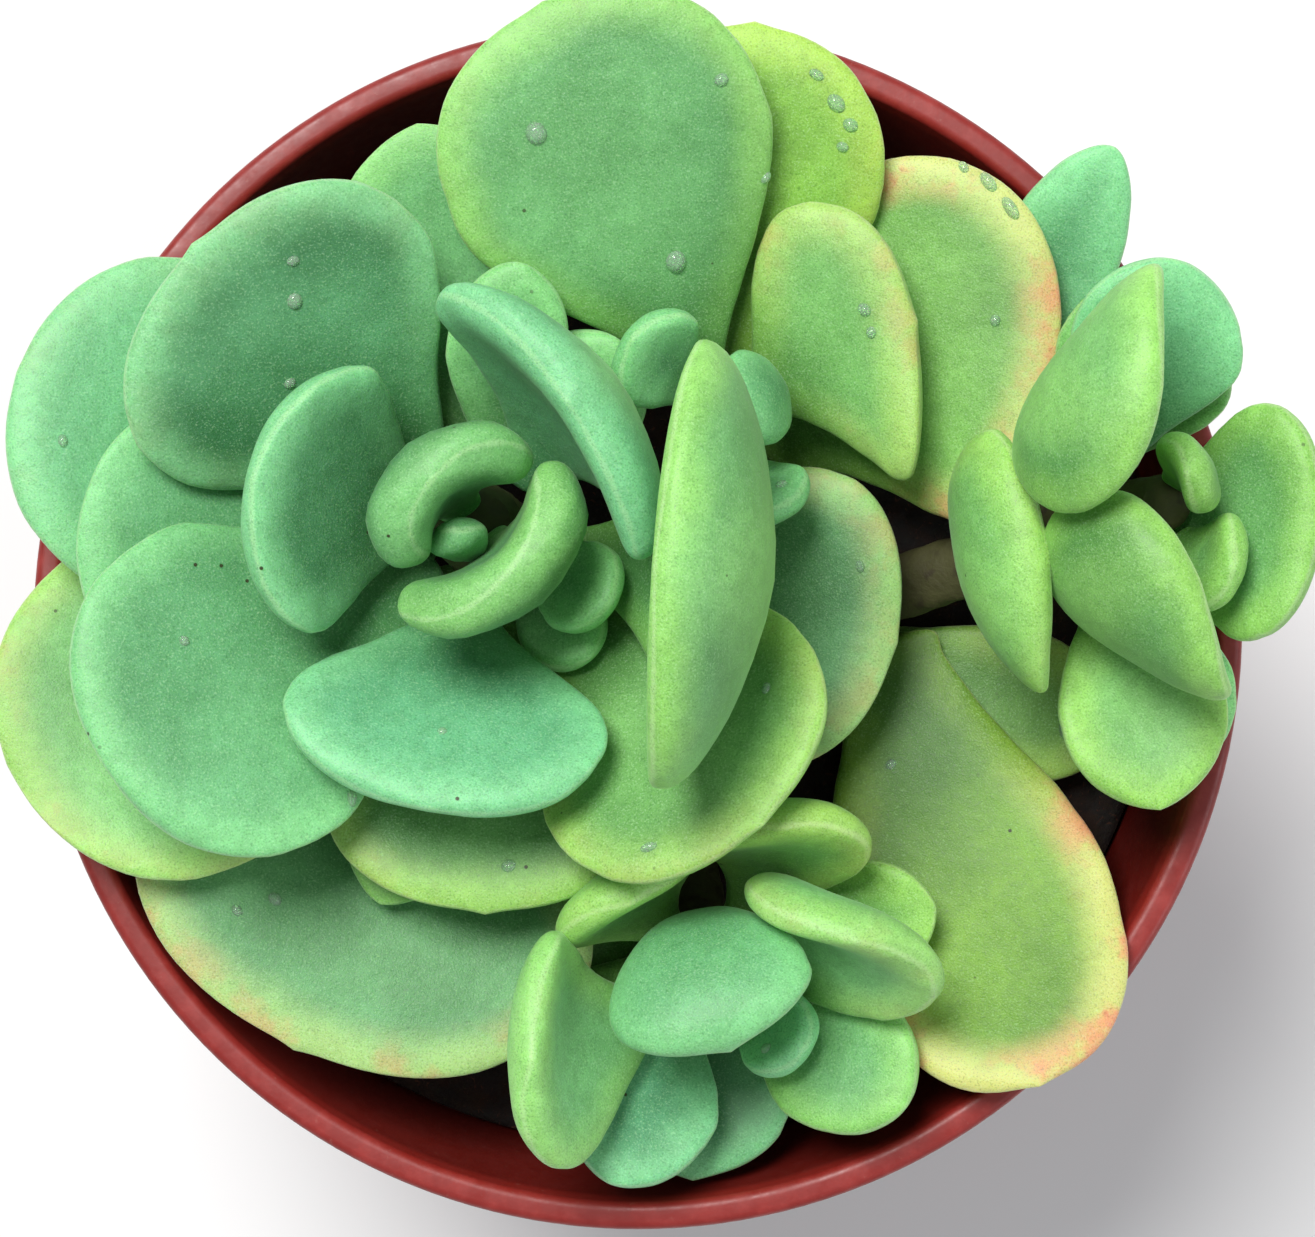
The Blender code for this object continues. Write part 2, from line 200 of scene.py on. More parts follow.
class Nodes:
    """Short ways to add shader nodes to one material."""

    def __init__(self, name):
        self.material = bpy.data.materials.new(name)
        self.material.use_nodes = True
        self.tree = self.material.node_tree
        self.shader = self.tree.nodes["Principled BSDF"]

    def add(self, kind, **settings):
        node = self.tree.nodes.new(kind)
        for key, value in settings.items():
            setattr(node, key, value)
        return node

    def join(self, source, target):
        self.tree.links.new(source, target)

    def put(self, node, socket, value):
        if isinstance(value, bpy.types.NodeSocket):
            self.join(value, node.inputs[socket])
        else:
            node.inputs[socket].default_value = value

    def attribute(self, name):
        return self.add("ShaderNodeAttribute", attribute_name=name).outputs["Fac"]

    def place(self):
        return self.add("ShaderNodeTexCoord").outputs["Object"]

    def noise(self, scale, detail=3.0, roughness=0.55, distortion=0.0):
        node = self.add("ShaderNodeTexNoise")
        self.put(node, "Scale", scale)
        self.put(node, "Detail", detail)
        self.put(node, "Roughness", roughness)
        self.put(node, "Distortion", distortion)
        self.join(self.place(), node.inputs["Vector"])
        return node.outputs["Fac"]

    def cells(self, scale):
        node = self.add("ShaderNodeTexVoronoi", feature="F1")
        self.put(node, "Scale", scale)
        self.put(node, "Randomness", 1.0)
        self.join(self.place(), node.inputs["Vector"])
        return node.outputs["Distance"]

    def maths(self, operation, first, second=0.0, third=None, clamp=False):
        node = self.add("ShaderNodeMath", operation=operation, use_clamp=clamp)
        self.put(node, 0, first)
        self.put(node, 1, second)
        if third is not None:
            self.put(node, 2, third)
        return node.outputs[0]

    def ramp(self, value, low, high, out_low=0.0, out_high=1.0):
        """A smooth step from out_low at low to out_high at high."""
        node = self.add("ShaderNodeMapRange", interpolation_type="SMOOTHSTEP")
        for key, given in (("Value", value), ("From Min", low), ("From Max", high)):
            self.put(node, key, given)
        self.put(node, "To Min", out_low)
        self.put(node, "To Max", out_high)
        return node.outputs["Result"]

    def mix(self, share, first, second):
        """The colour first where share is 0, second where it is 1."""
        node = self.add("ShaderNodeMix", data_type="RGBA", blend_type="MIX")
        self.put(node, MIX_SHARE, share)
        self.put(node, MIX_FIRST, first)
        self.put(node, MIX_SECOND, second)
        return node.outputs[MIX_RESULT]

    def bump(self, height, strength, distance):
        node = self.add("ShaderNodeBump")
        self.put(node, "Strength", strength)
        self.put(node, "Distance", distance)
        self.join(height, node.inputs["Height"])
        return node.outputs["Normal"]


def leaf_skin():
    """Green middle, a brighter band by the margin, a thin pale edge and painted down. The band and the
    edge are partly painted highlight, the keel gets a painted highlight and the root painted shade.
    Attributes set each leaf's colours, whose light is partly painted shade.
    """
    n = Nodes("leaf_skin")
    edge = n.attribute("edge")
    warm = n.attribute("warm")
    light = n.attribute("light")
    blush = n.attribute("blush")
    along = n.attribute("along")
    keel = n.attribute("keel")
    patches = n.noise(170, 3.0)
    wide = n.noise(55, 2.0)

    tone = n.maths("ADD", light, n.maths("MULTIPLY_ADD", wide, 1.3, -0.68), clamp=True)
    deep = n.mix(warm, linear(22, 92, 48), linear(58, 108, 2))
    pale = n.mix(warm, linear(118, 200, 146), linear(160, 212, 72))
    middle = n.mix(tone, deep, pale)
    # The band inside the margin is partly the leaf's own paler green and partly a painted highlight where
    # the rounded margin turns to the light; the minty colour is that painted highlight.
    minty_highlight = linear(144, 226, 160)
    leafy = n.mix(warm, linear(146, 222, 112), linear(188, 226, 84))
    bright_band_and_highlight = n.mix(n.ramp(warm, 0.05, 0.35), minty_highlight, leafy)
    wobble = n.maths("MULTIPLY_ADD", patches, 3.2, -1.6)
    inset = n.maths("ADD", edge, wobble)
    band_and_highlight = n.ramp(inset, 4.6, 0.6)
    skin = n.mix(n.maths("MULTIPLY", band_and_highlight, 0.62), middle, bright_band_and_highlight)
    # Painted shade: darker green toward the root, where the leaves crowd into the rosette.
    root = n.ramp(along, 0.60, 0.10)
    skin = n.mix(n.maths("MULTIPLY", root, 0.62), skin, linear(44, 104, 34))
    # Painted highlight: a paler line along the crest of the keel.
    ridge_highlight = n.ramp(keel, 0.10, 0.95)
    skin = n.mix(n.maths("MULTIPLY", ridge_highlight, 0.42), skin, linear(172, 232, 124))
    veins = n.ramp(n.noise(620, 3.0, 0.6, 0.6), 0.35, 0.65)
    skin = n.mix(n.maths("MULTIPLY", veins, 0.16), skin, linear(36, 88, 32))

    # Thin pale edge: partly the leaf's own pale translucent margin and partly a painted highlight on the
    # margin's crest.
    pale_rim_and_highlight = n.mix(warm, linear(178, 226, 170), linear(226, 232, 168))
    fray = n.maths("MULTIPLY_ADD", n.noise(700, 2.0), 0.5, -0.25)
    edge_line_and_highlight = n.ramp(n.maths("ADD", edge, fray), 0.42, 0.05)
    skin = n.mix(n.maths("MULTIPLY", edge_line_and_highlight, 0.34), skin, pale_rim_and_highlight)

    near = n.ramp(inset, 5.2, 0.3)
    outer = n.maths("MULTIPLY", near, n.ramp(along, 0.30, 0.55))
    blushed = n.maths("MULTIPLY", outer, blush)
    skin = n.mix(n.maths("MULTIPLY", blushed, 0.55, clamp=True), skin, linear(236, 216, 152))
    rosy = n.ramp(n.noise(170, 4.0, 0.62), 0.46, 0.64)
    pinked = n.maths("MULTIPLY", blushed, rosy, clamp=True)
    skin = n.mix(n.maths("MULTIPLY", pinked, 0.85), skin, linear(232, 140, 112))
    sore = n.ramp(n.noise(300, 3.0, 0.6), 0.60, 0.70)
    skin = n.mix(n.maths("MULTIPLY", sore, pinked, clamp=True), skin, linear(186, 60, 58))

    down = n.noise(6200, 1.0, 0.6)
    bright_down = n.ramp(down, 0.54, 0.74)
    skin = n.mix(n.maths("MULTIPLY", bright_down, 0.22), skin, linear(206, 244, 196))
    dark_down = n.ramp(down, 0.48, 0.26)
    skin = n.mix(n.maths("MULTIPLY", dark_down, 0.34), skin, linear(20, 84, 28))
    specks = n.ramp(n.cells(420), 0.085, 0.05)
    some = n.ramp(n.noise(90, 1.0), 0.55, 0.65)
    skin = n.mix(n.maths("MULTIPLY", specks, some), skin, linear(52, 60, 30))

    n.put(n.shader, "Base Color", skin)
    n.put(n.shader, "Roughness", n.ramp(down, 0.2, 0.8, 0.40, 0.60))
    lumps = n.maths("MULTIPLY_ADD", down, 0.30, n.noise(420, 3.0))
    n.put(n.shader, "Normal", n.bump(lumps, 0.35, 0.35 * MM))
    n.put(n.shader, "Subsurface Weight", 0.30)
    n.put(n.shader, "Subsurface Radius", (0.6, 1.0, 0.2))
    n.put(n.shader, "Subsurface Scale", 1.6 * MM)
    n.put(n.shader, "Sheen Weight", 0.16)
    n.put(n.shader, "Sheen Roughness", 0.35)
    n.put(n.shader, "Sheen Tint", linear(210, 240, 204))
    n.put(n.shader, "Specular IOR Level", 0.45)
    return n.material


def pot_plastic():
    """Thin brick red plastic with painted shade inside, a little chalky on the lip with painted highlights
    there too, and faintly rough.
    """
    n = Nodes("pot_plastic")
    parts = n.add("ShaderNodeSeparateXYZ")
    n.join(n.place(), parts.inputs[0])
    height = parts.outputs["Z"]
    broad = n.noise(45, 3.0)
    red = n.mix(broad, linear(130, 30, 24), linear(148, 42, 34))
    # Painted shade: the inside wall is darker than the outside.
    inside_shade = n.ramp(n.attribute("inside"), 0.2, 0.8)
    red = n.mix(n.maths("MULTIPLY", inside_shade, 0.75), red, linear(96, 22, 16))
    # Lighter blotches on the lip's top: partly chalky bloom and partly painted highlight.
    on_lip = n.ramp(height, RIM_HEIGHT - 1.0 * MM, RIM_HEIGHT - 0.1 * MM)
    chalk_and_highlight = n.ramp(n.noise(420, 5.0, 0.65), 0.40, 0.75)
    lip_chalk_and_highlight = n.mix(chalk_and_highlight, linear(134, 36, 32), linear(156, 54, 50))
    red = n.mix(n.maths("MULTIPLY", on_lip, 0.8), red, lip_chalk_and_highlight)
    dust = n.ramp(n.noise(1300, 4.0, 0.7), 0.62, 0.80)
    red = n.mix(n.maths("MULTIPLY", dust, 0.14), red, linear(214, 176, 160))
    n.put(n.shader, "Base Color", red)
    n.put(n.shader, "Roughness", n.ramp(n.noise(700, 3.0), 0.2, 0.8, 0.36, 0.55))
    n.put(n.shader, "Normal", n.bump(n.noise(1800, 3.0), 0.15, 0.1 * MM))
    n.put(n.shader, "Subsurface Weight", 0.1)
    n.put(n.shader, "Subsurface Radius", (1.0, 0.2, 0.1))
    n.put(n.shader, "Subsurface Scale", 1.0 * MM)
    return n.material


def potting_mix():
    """Nearly black damp peat with brown fibres and a few pale grains."""
    n = Nodes("potting_mix")
    clumps = n.noise(380, 6.0, 0.7)
    earth = n.mix(n.ramp(clumps, 0.3, 0.75), linear(14, 8, 6), linear(54, 34, 24))
    fibres = n.ramp(n.noise(900, 3.0, 0.6, 2.0), 0.6, 0.72)
    earth = n.mix(n.maths("MULTIPLY", fibres, 0.6), earth, linear(104, 58, 38))
    grains = n.ramp(n.cells(520), 0.11, 0.06)
    few = n.ramp(n.noise(300, 1.0), 0.58, 0.66)
    earth = n.mix(n.maths("MULTIPLY", grains, few), earth, linear(150, 138, 124))
    n.put(n.shader, "Base Color", earth)
    n.put(n.shader, "Roughness", n.ramp(clumps, 0.3, 0.7, 0.65, 0.95))
    n.put(n.shader, "Normal", n.bump(n.noise(1500, 5.0, 0.7), 0.8, 0.4 * MM))
    return n.material


def stem_bark():
    """Dull dark green brown bark, its darkness partly painted shade, with darker patches."""
    n = Nodes("stem_bark")
    streaks = n.noise(260, 5.0, 0.6, 1.2)
    # Bark colours kept dark partly as painted shade, for stems that sit under the leaves.
    bark_and_shade = n.mix(streaks, linear(50, 46, 24), linear(84, 84, 44))
    scars = n.ramp(n.noise(520, 2.0), 0.56, 0.68)
    bark_and_shade = n.mix(n.maths("MULTIPLY", scars, 0.6), bark_and_shade, linear(44, 32, 22))
    n.put(n.shader, "Base Color", bark_and_shade)
    n.put(n.shader, "Roughness", n.ramp(streaks, 0.2, 0.8, 0.6, 0.85))
    n.put(n.shader, "Normal", n.bump(n.noise(1100, 4.0, 0.6), 0.5, 0.3 * MM))
    return n.material


def clear_water():
    """Small drops, painted pale and milky for the light they gather from the down under them, with painted
    glints.
    """
    n = Nodes("water")
    # Painted light: the pale milky base colour and its lighter cells are painted glints and gathered
    # light.
    glints = n.ramp(n.cells(3600), 0.42, 0.16)
    n.put(n.shader, "Base Color", n.mix(glints, linear(210, 244, 212), linear(250, 255, 250)))
    n.put(n.shader, "Roughness", 0.05)
    n.put(n.shader, "Transmission Weight", 0.75)
    n.put(n.shader, "IOR", 1.33)
    return n.material


# ---------------------------------------------------------------------------------------------
# Leaves
# ---------------------------------------------------------------------------------------------
def welded(node):
    """A CAD node's corners with doubles joined, and its triangles."""
    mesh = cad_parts[node].data
    flat = np.empty(len(mesh.vertices) * 3)
    mesh.vertices.foreach_get("co", flat)
    keys = np.round(flat.reshape(-1, 3) / (0.001 * MM)).astype(np.int64)
    _, first, inverse = np.unique(keys, axis=0, return_index=True, return_inverse=True)
    inverse = inverse.reshape(-1)
    corners = flat.reshape(-1, 3)[first]
    faces = [[int(inverse[v]) for v in face.vertices] for face in mesh.polygons]
    return corners, [f for f in faces if len(set(f)) == 3]


def neighbours(corners, faces):
    """For each corner, the corners that share an edge with it."""
    near = [set() for _ in corners]
    for a, b, c in faces:
        near[a].update((b, c))
        near[b].update((a, c))
        near[c].update((a, b))
    return near


def walk_ring(ring, near):
    """The corners of one section in order round it."""
    ring = set(ring)
    order = [min(ring)]
    while len(order) < len(ring):
        onward = [v for v in near[order[-1]] & ring if v not in order]
        order.append(min(onward))
    return order


def directions(places):
    """Unit directions from the middle of some places to each of them."""
    out = places - places.mean(0)
    return out / np.maximum(np.linalg.norm(out, axis=1, keepdims=True), 1e-9)


def lined_up(places, model):
    """places turned, and reversed if need be, to start and run as model does."""
    best = None
    aim = directions(model)
    for way in (places, places[::-1]):
        for shift in range(len(places)):
            tried = np.roll(way, shift, axis=0)
            miss = ((directions(tried) - aim) ** 2).sum()
            if best is None or miss < best[0]:
                best = (miss, tried)
    return best[1]


def leaf_sections(node, stem_places):
    """A CAD leaf's sections from root to tip, each starting at one margin and passing the upper face."""
    corners, faces = welded(node)
    near = neighbours(corners, faces)
    poles = sorted(range(len(corners)), key=lambda v: -len(near[v]))[:2]
    far = [np.linalg.norm(stem_places - corners[v], axis=1).min() for v in poles]
    root, tip = poles if far[0] < far[1] else poles[::-1]
    level = {root: 0}
    front = [root]
    while front:
        following = []
        for v in front:
            for w in near[v]:
                if w not in level:
                    level[w] = level[v] + 1
                    following.append(w)
        front = following
    last = level[tip]
    rings = [corners[walk_ring([v for v in level if level[v] == k], near)] for k in range(1, last)]
    round_it = len(rings[0])
    half = round_it // 2
    middle = rings[len(rings) // 2]
    spans = [np.linalg.norm(middle[i] - middle[(i + half) % round_it]) for i in range(round_it)]
    middle = np.roll(middle, -int(np.argmax(spans)), axis=0)
    quarter = round_it // 4
    above = middle[quarter : half - quarter + 1].mean(0)
    below = middle[half + quarter : round_it - quarter + 1].mean(0)
    raised = (middle[0] + middle[half]) / 2 - (above + below) / 2
    if np.dot(above - below, raised) < 0:
        middle = np.roll(middle[::-1], 1, axis=0)
    centre = len(rings) // 2
    rings[centre] = middle
    for k in range(centre + 1, len(rings)):
        rings[k] = lined_up(rings[k], rings[k - 1])
    for k in range(centre - 1, -1, -1):
        rings[k] = lined_up(rings[k], rings[k + 1])
    start = rings[0].mean(0)
    start = start + ROOT_REACH * (start - rings[1].mean(0))
    ends = [np.repeat(place[None], round_it, axis=0) for place in (start, corners[tip])]
    return np.array([ends[0], *rings, ends[1]])


def spline(values, where):
    """Values at evenly spaced knots, read between them by a Catmull-Rom spline. The first and last
    knots only steer the ends."""
    k = np.clip(np.floor(where).astype(int), 0, len(values) - 4)
    t = (where - k)[:, None, None]
    a, b, c, d = (values[k + i] for i in range(4))
    curve = 2 * b + (c - a) * t + (2 * a - 5 * b + 4 * c - d) * t**2 + (3 * b - a - 3 * c + d) * t**3
    return curve / 2


def fine_sections(coarse, turns, steps):
    """Coarse sections read at the angles turns from root to tip and in steps round the leaf."""
    rings, round_it, _ = coarse.shape
    over = np.roll(coarse, round_it // 2, axis=1)
    padded = np.concatenate((over[1:2], coarse, over[-2:-1]))
    lengthwise = spline(padded, turns / math.pi * (rings - 1))
    wrapped = np.concatenate((lengthwise[:, -1:], lengthwise, lengthwise[:, :2]), axis=1)
    crosswise = spline(np.swapaxes(wrapped, 0, 1), np.arange(steps) * round_it / steps)
    return np.swapaxes(crosswise, 0, 1)


def unit(vectors):
    """Vectors made one long."""
    return vectors / np.maximum(np.linalg.norm(vectors, axis=-1, keepdims=True), 1e-12)


def waves(where, draw, counts, size):
    """A smooth random curve through where, as a sum of sines that get smaller."""
    total = np.zeros_like(where)
    for count in counts:
        total += np.sin(math.pi * count * where + draw.uniform(0, 2 * math.pi)) / count**0.6
    return total * size


class Leaf:
    """A fine leaf made from a CAD leaf: wavy margin, small pointed tip, soft keel."""

    def __init__(self, node, stem_places, seed):
        self.node = node
        self.warm, self.light, self.blush, self.keel = LOOKS[node]
        self.draw = np.random.default_rng(seed)
        coarse = leaf_sections(node, stem_places)
        body = np.linspace(0, TIP_STARTS * math.pi, LEAF_SECTIONS, endpoint=False)
        end = np.linspace(TIP_STARTS * math.pi, math.pi, TIP_SECTIONS + 1)
        self.turns = np.concatenate((body, end))
        self.places = fine_sections(coarse, self.turns, LEAF_ROUND)
        self.shape()

    def shape(self):
        """Fills out the end, waves the margin, draws the keel and the tip, and measures to the edge."""
        places = self.places
        half = LEAF_ROUND // 2
        angle = 2 * math.pi * np.arange(LEAF_ROUND) / LEAF_ROUND
        self.along = (1 - np.cos(self.turns)) / 2
        centre = places.mean(1)
        side = places[:, 0] - places[:, half]
        width = np.linalg.norm(side, axis=1)
        side = unit(side)
        way = unit(np.gradient(centre, axis=0))
        up = unit(np.cross(side, way))
        quarter = LEAF_ROUND // 4
        lift = (places[:, quarter] - places[:, 3 * quarter])[len(width) // 2]
        if np.dot(up[len(width) // 2], lift) < 0:
            up = -up
        widest = width.max()

        past = np.clip((self.along - SHOULDER_STARTS) / (1 - SHOULDER_STARTS), 0, 0.97)
        fuller = (1 - past**SHOULDER_TO) ** 0.45 / (1 - past**SHOULDER_FROM) ** 0.5 - 1
        lateral = ((places - centre[:, None, :]) * side[:, None, :]).sum(2)
        spread = lateral * (SHOULDER * fuller)[:, None]
        places = places + side[:, None, :] * spread[..., None]

        left_right = np.sign(np.cos(angle))
        margin = np.abs(np.cos(angle)) ** MARGIN_POWER
        q = (1 - self.along[:, None]) * left_right[None, :]
        fade = np.clip(width / (FADE_WIDTH * widest), 0, 1)[:, None]
        size = WAVE * min(1.0, widest / WAVE_FULL_WIDTH) + WAVE_LEAST
        heave = waves(q, self.draw, (3, 5, 8, 13), size) * margin * fade
        bulge = waves(q, self.draw, (4, 9, 15, 23), BULGE_SHARE * size) * margin * fade
        bulge = bulge + waves(q, self.draw, (1.3, 2.1, 3.2), LOBE_SHARE * widest) * margin**0.3 * fade
        sway = waves(q, self.draw, (1.5, 2.5), SWAY) * np.abs(np.cos(angle)) ** 2 * fade
        outward = side[:, None, :] * np.cos(angle)[None, :, None]
        places = places + up[:, None, :] * (heave + sway)[..., None] + outward * bulge[..., None]

        under = np.exp(-(((angle - 1.5 * math.pi) / KEEL_SPREAD) ** 2))
        span = np.sin(math.pi * np.clip(self.along, 0, 1)) ** 0.5
        drop = self.keel * MM * span[:, None] * under[None, :]
        places = places - up[:, None, :] * drop[..., None]

        tip = places[-1, 0]
        onward = unit(tip - centre[-8])
        reach = np.linalg.norm(places - tip, axis=2)
        drawn = self.draw.uniform(TIP_LEAST, TIP_MOST)
        point = np.clip(1 - reach / TIP_REACH, 0, 1) ** 2 * drawn * MM
        self.places = places + onward * point[..., None]

        margins = np.concatenate((places[:, 0], places[:, half]))
        gaps = np.linalg.norm(places[:, :, None, :] - margins[None, None, 6:], axis=3)
        self.edge = gaps.min(2) / MM
        # Mask for the painted highlight along the keel's crest
        self.ridge_highlight = under[None, :] * span[:, None] * (self.keel > KEEL_SHOWS)

    def spot(self, along, across):
        """A place on the upper face, with the directions ahead, aside and out of the skin there."""
        row = int(np.argmin(np.abs(self.along - along)))
        row = min(max(row, 1), len(self.along) - 2)
        column = int(round(math.acos(-across) / (2 * math.pi) * LEAF_ROUND)) % LEAF_ROUND
        ahead = unit(self.places[row + 1, column] - self.places[row - 1, column])
        aside = unit(self.places[row, (column + 1) % LEAF_ROUND] - self.places[row, column - 1])
        up = unit(np.cross(ahead, aside))
        if np.dot(up, self.places[row, column] - self.places[row].mean(0)) < 0:
            up = -up
        return self.places[row, column], ahead, aside, up

    def mesh_data(self):
        """Corners and faces: one corner at each end and a grid between them."""
        rings = len(self.turns)
        grid = self.places[1:-1].reshape(-1, 3)
        points = np.vstack((self.places[0, :1], grid, self.places[-1, :1]))
        faces = []
        last = len(points) - 1
        for i in range(LEAF_ROUND):
            j = (i + 1) % LEAF_ROUND
            faces.append((0, 1 + j, 1 + i))
            for k in range(rings - 3):
                a = 1 + k * LEAF_ROUND
                b = a + LEAF_ROUND
                faces.append((a + i, a + j, b + j, b + i))
            a = 1 + (rings - 3) * LEAF_ROUND
            faces.append((a + i, a + j, last))
        return points, faces

    def values(self, grid):
        """A grid's values in the order of mesh_data's corners."""
        return np.concatenate((grid[0, :1], grid[1:-1].reshape(-1), grid[-1, :1]))

    def build(self, look):
        """The leaf's piece, with the attributes that leaf_skin reads."""
        points, faces = self.mesh_data()
        piece = new_piece(f"{self.node}_flesh", points, faces, look, self.node)
        mend_normals(piece)
        flat = np.ones(self.places.shape[:2])
        for name, grid in (
            ("edge", self.edge),
            ("along", flat * self.along[:, None]),
            ("keel", self.ridge_highlight),
            ("warm", flat * self.warm),
            ("light", flat * self.light),
            ("blush", flat * self.blush),
        ):
            layer = piece.data.attributes.new(name, "FLOAT", "POINT")
            layer.data.foreach_set("value", self.values(grid).astype(np.float32))
        return piece


def build_leaves(look):
    """All the leaves, kept by name so that drops can stand on them."""
    leaves = {}
    for number, node in enumerate(sorted(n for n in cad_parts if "_leaf_" in n)):
        stem = "stem_" + node.split("_")[0]
        leaf = Leaf(node, welded(stem)[0], seed=number)
        leaf.build(look)
        leaves[node] = leaf
    return leaves


# ---------------------------------------------------------------------------------------------
# Pot, soil and stems
# ---------------------------------------------------------------------------------------------
POT_STEPS = 180
LIP_RADIUS = 2.4 * MM
WALL = 1.2 * MM
BAND = 8.0 * MM
BAND_INSET = 0.6 * MM
POT_ROUNDING = 0.8 * MM
FOOT_RADIUS = 35.0 * MM
HOLE_RADIUS = 3.5 * MM
HOLE_CIRCLE = 24.0 * MM
HOLES = 6
SOIL_RINGS = 70
SOIL_STEPS = 220
STEM_SIDES = 28
STEM_RINGS = 90


def turned(points, steps):
    """Corners and faces of a closed profile of (radius, height) turned about the pot's axis. The
    first and last points lie on the axis."""
    corners = []
    for r, z in points:
        if r < 1e-9:
            corners.append([(0.0, 0.0, z)])
        else:
            ring = [2 * math.pi * i / steps for i in range(steps)]
            corners.append([(r * math.cos(a), r * math.sin(a), z) for a in ring])
    starts = np.cumsum([0] + [len(ring) for ring in corners])
    flat = [place for ring in corners for place in ring]
    faces = []
    for k in range(len(corners) - 1):
        low, high = int(starts[k]), int(starts[k + 1])
        for i in range(steps):
            j = (i + 1) % steps
            if len(corners[k]) == 1:
                faces.append((low, high + j, high + i))
            elif len(corners[k + 1]) == 1:
                faces.append((low + i, low + j, high))
            else:
                faces.append((low + i, low + j, high + j, high + i))
    return np.array(flat), faces


def rounded(centre, radius, first, last, count):
    """Points on an arc in the profile plane, angles in degrees from straight outward."""
    angles = [math.radians(first + (last - first) * i / (count - 1)) for i in range(count)]
    return [(centre[0] + radius * math.cos(a), centre[1] + radius * math.sin(a)) for a in angles]


def inner_wall(height):
    """Inside radius of the wall at a height."""
    share = (height - WALL) / (RIM_HEIGHT - WALL)
    return FOOT_RADIUS - WALL + share * (RIM_RADIUS - LIP_RADIUS - FOOT_RADIUS + WALL)


def build_pot(look):
    """The moulded pot: rolled lip over a thicker band, thin tapered wall, drain holes in the floor."""
    neck = RIM_HEIGHT - BAND
    lip_in = RIM_RADIUS - LIP_RADIUS
    soft = POT_ROUNDING
    profile = [(0.0, 0.0)]
    profile += rounded((FOOT_RADIUS - soft, soft), soft, -90, 0, 6)
    for share in np.linspace(0.08, 1.0, 14):
        height = share * neck
        profile.append((inner_wall(height) + WALL, height))
    profile += rounded((RIM_RADIUS - BAND_INSET - soft, neck + soft), soft, -80, 0, 6)
    profile += rounded((RIM_RADIUS - soft, RIM_HEIGHT - soft), soft, 0, 90, 7)
    profile += rounded((lip_in + soft, RIM_HEIGHT - soft), soft, 90, 180, 7)
    for share in np.linspace(0.97, 0.03, 16):
        height = WALL + share * (RIM_HEIGHT - WALL)
        profile.append((min(inner_wall(height), lip_in), height))
    profile.append((inner_wall(WALL) - soft, WALL))
    profile.append((0.0, WALL))
    points, faces = turned(profile, POT_STEPS)
    mesh = bpy.data.meshes.new("pot_whole")
    mesh.from_pydata([tuple(p) for p in points], [], faces)
    whole = bpy.data.objects.new("pot_whole", mesh)
    bpy.context.scene.collection.objects.link(whole)
    mend_normals(whole)
    drills = []
    for i in range(HOLES):
        angle = 2 * math.pi * (i + 0.5) / HOLES
        work = bmesh.new()
        bmesh.ops.create_cone(
            work, cap_ends=True, segments=40, radius1=HOLE_RADIUS, radius2=HOLE_RADIUS, depth=5 * WALL
        )
        drill_mesh = bpy.data.meshes.new("drill")
        work.to_mesh(drill_mesh)
        work.free()
        drill = bpy.data.objects.new(f"drill_{i}", drill_mesh)
        drill.location = (HOLE_CIRCLE * math.cos(angle), HOLE_CIRCLE * math.sin(angle), WALL / 2)
        bpy.context.scene.collection.objects.link(drill)
        drills.append(drill)
        cut = whole.modifiers.new(f"cut_{i}", "BOOLEAN")
        cut.operation = "DIFFERENCE"
        cut.solver = "EXACT"
        cut.object = drill
    bpy.context.view_layer.update()
    drilled = whole.evaluated_get(bpy.context.evaluated_depsgraph_get()).to_mesh()
    points = [vertex.co.copy() for vertex in drilled.vertices]
    faces = [tuple(face.vertices) for face in drilled.polygons]
    for spare in (*drills, whole):
        bpy.data.objects.remove(spare)
    piece = new_piece("pot_moulded", points, faces, look, "pot")
    piece.data.set_sharp_from_angle(angle=math.radians(35))
    layer = piece.data.attributes.new("inside", "FLOAT", "POINT")
    values = []
    for point in points:
        radius = math.hypot(point.x, point.y)
        wall = inner_wall(point.z) + WALL / 2
        within = radius < wall and WALL / 2 < point.z < RIM_HEIGHT - 1.5 * MM
        values.append(1.0 if within else 0.0)
    layer.data.foreach_set("value", values)


def rough(x, y):
    """Height of the soil's crumbs over its mean surface."""
    place = Vector((x, y, 0.0)) / MM
    big = noise.noise(place * 0.16) * 0.5
    lumps = 0.55 - noise.voronoi(place * 0.42)[0][0]
    grains = 0.45 - noise.voronoi(place * 1.05 + Vector((7, 3, 1)))[0][0]
    return (big + 1.0 * lumps + 0.45 * grains) * MM


def build_soil(look):
    """Crumbly potting mix: the CAD root ball with a broken, lumpy top."""
    low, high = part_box("soil")
    corners = welded("soil")[0]
    radii = np.hypot(corners[:, 0], corners[:, 1])
    edge = radii.max()
    edge_height = corners[np.argmax(radii), 2]
    foot = radii[corners[:, 2] < low.z + 2 * MM].max()
    profile = [(0.0, low.z)]
    profile += [(foot * share, low.z) for share in (0.5, 0.97)]
    for share in np.linspace(0.03, 0.97, 12):
        profile.append((foot + (edge - foot) * share, low.z + (edge_height - low.z) * share))
    mound = high.z - edge_height
    first = len(profile)
    for share in np.linspace(1.0, 0.02, SOIL_RINGS):
        profile.append((edge * share, edge_height + mound * (1 - share**2)))
    profile.append((0.0, high.z))
    points, faces = turned(profile, SOIL_STEPS)
    top = 1 + (first - 1) * SOIL_STEPS
    for i in range(top, len(points)):
        x, y, z = points[i]
        points[i, 2] = z + rough(x, y) * min(1.0, 0.3 + (edge - math.hypot(x, y)) / (2 * MM))
    piece = new_piece("soil_crumbly", points, faces, look, "soil")
    mend_normals(piece)


